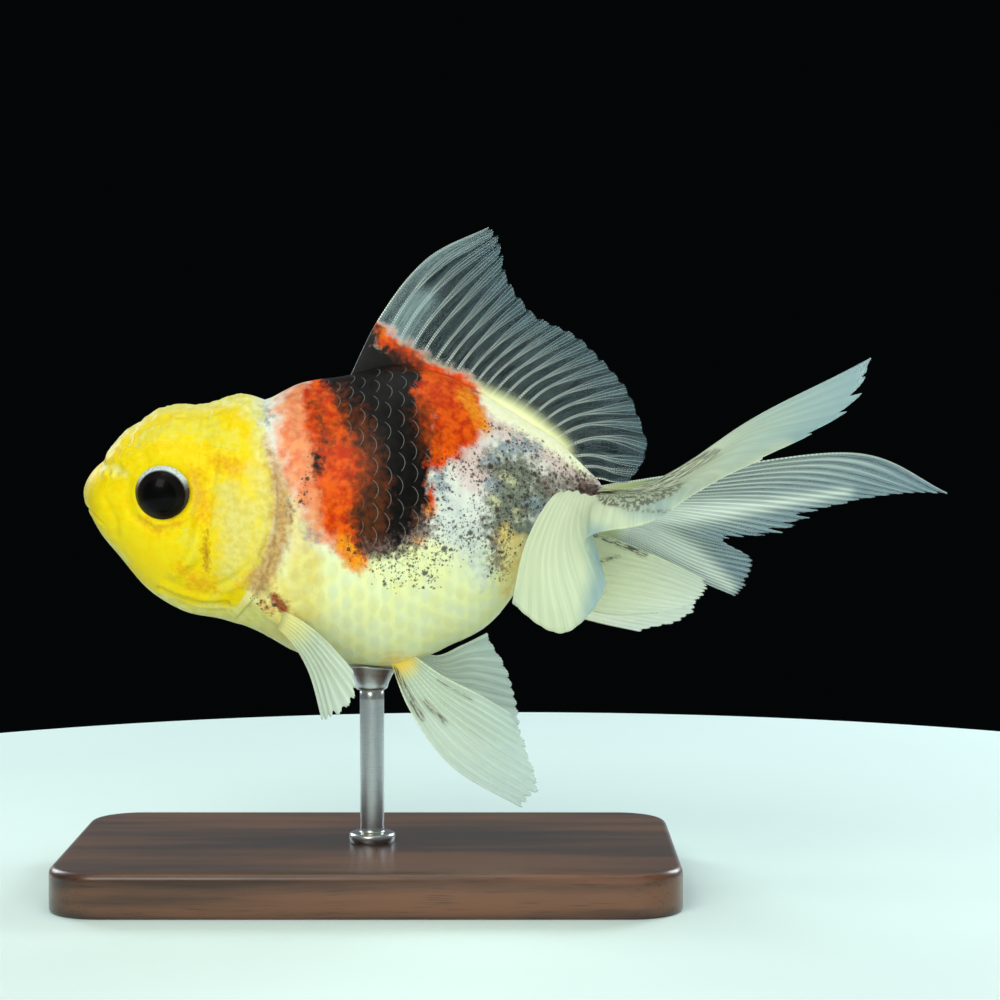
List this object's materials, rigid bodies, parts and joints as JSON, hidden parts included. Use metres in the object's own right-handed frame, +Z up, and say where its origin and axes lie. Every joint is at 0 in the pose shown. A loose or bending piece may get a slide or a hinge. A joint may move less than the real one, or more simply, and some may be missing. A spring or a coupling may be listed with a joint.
{
  "type": "fancy goldfish model on a display stand",
  "caption": "Still, life-size model of a young twin-tailed fancy goldfish in a swimming pose, held by a thin rod on a flat display base.",
  "frame": {"origin": "centre of the underside of the stand's base, under the rod that holds the belly", "axes": "+Z up; +X from the snout to the tail; the fish's left flank faces -Y"},
  "size_m": [0.1028, 0.04, 0.076],
  "materials": {
    "head_skin": "yellow skin, wet satin",
    "hood_skin": "yellow bumpy growth, wet satin",
    "flank_skin": "scaled skin in orange, black, white and grey, wet satin",
    "stalk_skin": "pale skin with dark specks, wet satin",
    "clear_fin": "thin translucent membrane with pale rays",
    "white_fin": "milky translucent membrane with pale rays",
    "eye_glass": "dark eye, polished",
    "base_wood": "dark wood, satin varnish",
    "rod_steel": "fine brushed steel"
  },
  "bodies": {
    "root": {"head": "head_skin", "lower_jaw": "head_skin", "hood": "hood_skin", "gill_cover_left": "head_skin", "gill_cover_right": "head_skin", "eye_left": "eye_glass", "eye_right": "eye_glass", "trunk": "flank_skin", "tail_stalk": "stalk_skin", "dorsal_fin": "clear_fin", "pectoral_fin_left": "white_fin", "pectoral_fin_right": "white_fin", "pelvic_fin_left": "white_fin", "pelvic_fin_right": "white_fin", "anal_fin_left": "white_fin", "anal_fin_right": "white_fin", "tail_fin_left_upper": "white_fin", "tail_fin_left_lower": "white_fin", "tail_fin_right_upper": "white_fin", "tail_fin_right_lower": "white_fin", "stand_base": "base_wood", "stand_rod": "rod_steel", "stand_cup": "rod_steel"}
  },
  "joints": []
}
